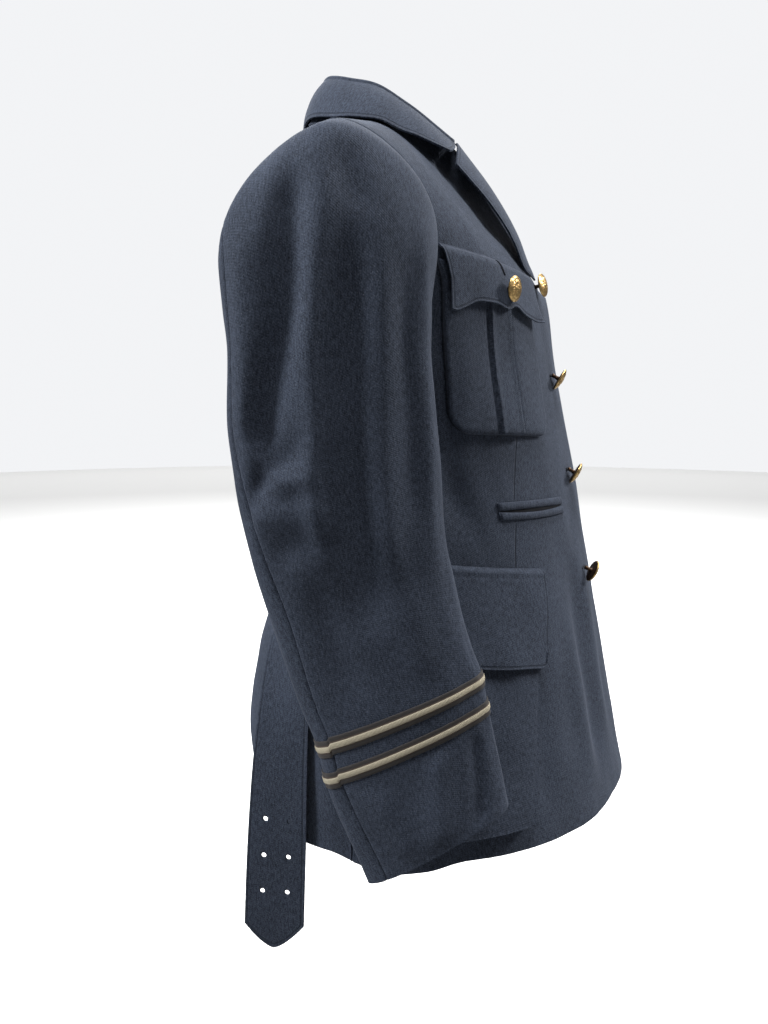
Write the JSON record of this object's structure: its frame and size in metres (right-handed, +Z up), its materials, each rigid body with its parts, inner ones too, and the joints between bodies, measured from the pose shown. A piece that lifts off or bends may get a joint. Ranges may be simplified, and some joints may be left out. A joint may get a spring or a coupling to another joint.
{
  "type": "pilot uniform jacket",
  "caption": "Belted single-breasted wool uniform jacket in its hollow worn form, with notched lapels, flapped patch pockets, sleeve braids and domed metal buttons.",
  "frame": {"origin": "middle of the neck, level with the neck points where the wearer's shoulders hold the jacket", "axes": "+Z up, -Y the way the wearer looks, -X the wearer's right side"},
  "size_m": [0.56, 0.4459, 0.9009],
  "materials": {
    "wool": "dark blue-grey heathered wool twill",
    "rank_braid": "woven braid, black-brown with a pale ribbed line",
    "brass": "satin gilt"
  },
  "bodies": {
    "root": {"back_left": "wool", "back_right": "wool", "belt_back": "wool", "belt_buckle": "brass", "belt_end_left": "wool", "belt_end_right": "wool", "braid_lower_left": "rank_braid", "braid_lower_right": "rank_braid", "braid_upper_left": "rank_braid", "braid_upper_right": "rank_braid", "buckle_prong_1": "brass", "buckle_prong_2": "brass", "chest_button_left": "brass", "chest_button_right": "brass", "chest_flap_left": "wool", "chest_flap_right": "wool", "chest_pocket_left": "wool", "chest_pocket_right": "wool", "collar": "wool", "front_button_1": "brass", "front_button_2": "brass", "front_button_3": "brass", "front_button_4": "brass", "front_left": "wool", "front_right": "wool", "lapel_left": "wool", "lapel_right": "wool", "lower_flap_left": "wool", "lower_flap_right": "wool", "lower_pocket_left": "wool", "lower_pocket_right": "wool", "sleeve_top_left": "wool", "sleeve_top_right": "wool", "sleeve_under_left": "wool", "sleeve_under_right": "wool", "slit_lip_lower_left": "wool", "slit_lip_lower_right": "wool", "slit_lip_upper_left": "wool", "slit_lip_upper_right": "wool"}
  },
  "joints": []
}
